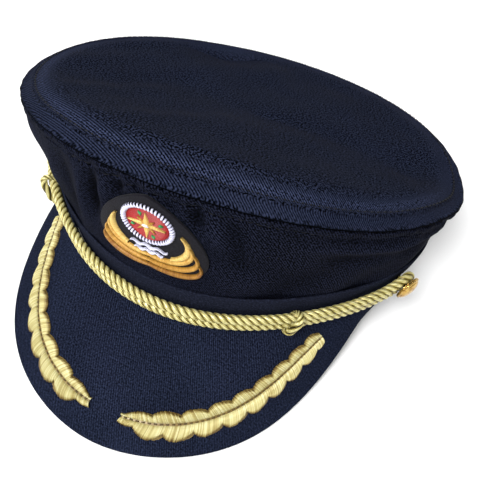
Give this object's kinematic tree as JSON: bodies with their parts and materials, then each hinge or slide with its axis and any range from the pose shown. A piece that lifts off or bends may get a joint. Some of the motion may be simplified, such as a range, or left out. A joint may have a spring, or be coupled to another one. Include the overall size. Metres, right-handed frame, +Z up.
{
  "type": "peaked cap",
  "caption": "Soft peaked cap with a flared side panel, flat oval top, down-sloping visor with gold leaf sprigs, twisted gold chin cord held by side buttons, and an embroidered badge.",
  "frame": {"origin": "centre of the bounding box at its base, the surface the cap rests on", "axes": "+Z up as the cap rests; -Y the front, where the visor is; +X the wearer's left"},
  "size_m": [0.2138, 0.2526, 0.1272],
  "materials": {
    "navy_twill": "matt cotton twill",
    "band_cloth": "matt smooth cotton",
    "visor_twill": "matt ribbed cotton",
    "gold_cord": "satin metallic yarn",
    "gilt_metal": "polished gilt",
    "badge_cloth": "matt felt",
    "badge_red": "satin thread",
    "gold_thread": "satin thread"
  },
  "bodies": {
    "root": {"crown_side": "navy_twill", "crown_top": "navy_twill", "band_strip": "band_cloth", "visor": "visor_twill", "chin_cord": "gold_cord", "cord_slide_left": "gold_cord", "cord_slide_right": "gold_cord", "button_left": "gilt_metal", "button_right": "gilt_metal", "badge_patch": "badge_cloth", "badge_disc": "badge_red", "sprig_left": "gold_thread", "sprig_right": "gold_thread"}
  },
  "joints": []
}
